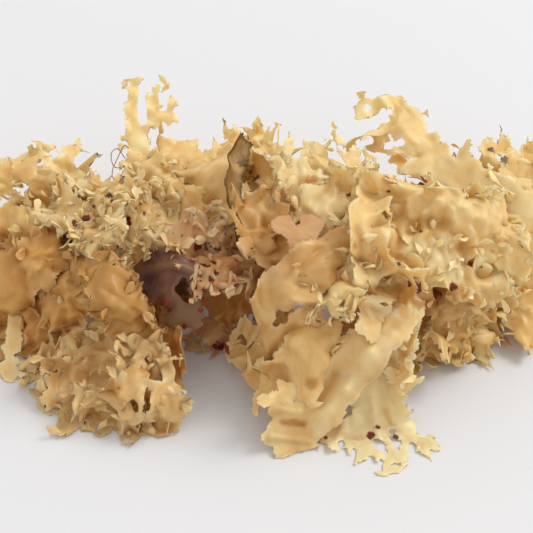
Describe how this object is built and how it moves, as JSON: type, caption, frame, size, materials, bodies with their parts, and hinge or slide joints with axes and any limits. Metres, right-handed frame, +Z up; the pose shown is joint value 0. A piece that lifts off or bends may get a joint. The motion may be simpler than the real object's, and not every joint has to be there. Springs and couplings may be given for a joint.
{
  "type": "dried irish moss",
  "caption": "Dried Irish moss: a loose tangled clump of thin leathery forked fronds with ruffled, toothed edges that lies on a table.",
  "frame": {"origin": "on the table, under the middle of the clump's box", "axes": "+X along the clump's length, to the right as the picture shows it; +Y away from the viewer; +Z up from the table"},
  "size_m": [0.1674, 0.0996, 0.0486],
  "materials": {
    "blond": "sun-bleached, satin, slightly see-through at the thin edges",
    "tan": "dried, satin, pale brown",
    "amber": "dried, satin, deep brown where light comes through it",
    "olive": "dried, satin, with a green tinge",
    "umber": "dark brown, rolled, satin",
    "rose": "pale cream with a pink flush, satin",
    "plum": "unbleached purple brown, satin, faint bluish bloom",
    "garnet": "dark red spots and edges on cream, satin"
  },
  "bodies": {
    "root": {"heart_leaf": "rose", "front_leaf": "blond", "front_strap": "blond", "front_fan": "blond", "side_strap": "blond", "centre_column": "blond", "inner_fold": "blond", "centre_bunch": "blond", "front_leaf_low": "tan", "left_hook": "tan", "long_arch": "olive", "right_cluster": "tan", "right_cluster_low": "tan", "thin_strap": "tan", "back_right_frond": "blond", "back_right_blade": "tan", "right_end": "tan", "right_end_low": "amber", "right_back_lobes": "olive", "right_back_blade": "olive", "dark_strap": "umber", "curled_cup": "blond", "upper_blade": "blond", "pale_blade": "blond", "crest_spikes": "blond", "small_antler": "blond", "back_spikes": "blond", "back_curl": "blond", "mid_back_blade": "tan", "back_ridge": "blond", "mid_left_blade": "tan", "spire": "blond", "left_top_blade": "blond", "left_crest": "blond", "left_crest_right": "blond", "left_shoulder": "tan", "toothed_blade": "tan", "plum_blade": "plum", "garnet_ruffle": "garnet", "left_mid_blade": "amber", "left_side_blade": "tan", "left_front_blade": "amber", "left_fan": "blond", "left_fan_right": "blond", "left_fan_left": "blond", "brown_curve": "amber", "left_low": "tan", "left_hanging_strap": "blond", "garnet_lobe": "garnet", "inner_left": "amber", "inner_right": "amber", "inner_front": "tan", "back_foot_left": "tan", "back_foot_middle": "blond", "back_foot_right": "tan", "back_middle_left": "amber", "back_middle_right": "tan", "back_left_end": "amber", "back_right_end": "amber"}
  },
  "joints": []
}
